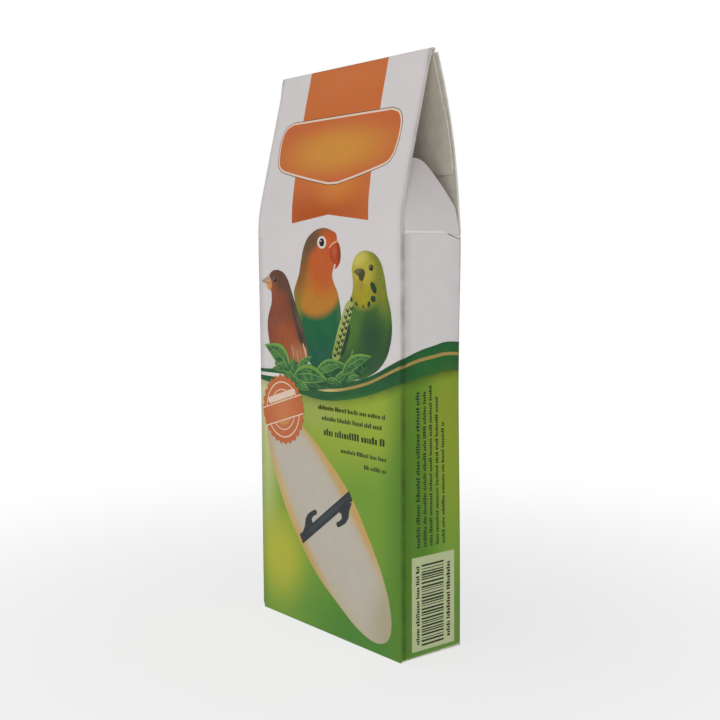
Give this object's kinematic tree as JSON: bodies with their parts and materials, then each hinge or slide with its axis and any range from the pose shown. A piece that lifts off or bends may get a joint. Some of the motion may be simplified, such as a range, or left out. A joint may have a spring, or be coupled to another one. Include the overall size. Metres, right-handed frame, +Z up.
{
  "type": "folding carton",
  "caption": "Tall slim paperboard carton with a tent-shaped top: the front roof panel folds over the ridge and tucks in behind the back roof panel, with a dust flap at each end.",
  "frame": {"origin": "on the floor under the middle of the base", "axes": "+Z up, towards the ridge; the front face looks towards -Y; +X is to the right seen from the front"},
  "size_m": [0.0778, 0.0254, 0.1903],
  "materials": {
    "printed_white": "satin coated paperboard, unprinted white",
    "printed_green": "satin coated paperboard, printed green",
    "raw_board": "matt uncoated grey-beige board"
  },
  "bodies": {
    "carton": {"front_wall": "printed_green", "back_wall": "printed_green", "right_side_wall": "printed_green", "left_side_wall": "printed_green", "glue_flap": "raw_board", "bottom_panel": "printed_green", "bottom_tuck_flap": "raw_board", "right_bottom_dust_flap": "raw_board", "left_bottom_dust_flap": "raw_board"},
    "lid": {"front_roof_panel": "printed_white", "tuck_flap": "raw_board"},
    "back_roof": {"back_roof_panel": "printed_white"},
    "right_dust": {"right_dust_flap": "printed_white"},
    "left_dust": {"left_dust_flap": "printed_white"}
  },
  "joints": [
    {"name": "lid_crease", "type": "hinge", "parent": "carton", "child": "lid", "pos_m": [0, -0.0127, 0.1345], "axis": [1, 0, 0], "range_deg": [0, 120]},
    {"name": "back_roof_crease", "type": "hinge", "parent": "carton", "child": "back_roof", "pos_m": [0, 0.0127, 0.1345], "axis": [-1, 0, 0], "range_deg": [0, 110]},
    {"name": "right_dust_crease", "type": "hinge", "parent": "carton", "child": "right_dust", "pos_m": [0.03875, 0, 0.1345], "axis": [0, 1, 0], "range_deg": [-75, 140]},
    {"name": "left_dust_crease", "type": "hinge", "parent": "carton", "child": "left_dust", "pos_m": [-0.03875, 0, 0.1345], "axis": [0, -1, 0], "range_deg": [-75, 140]}
  ]
}
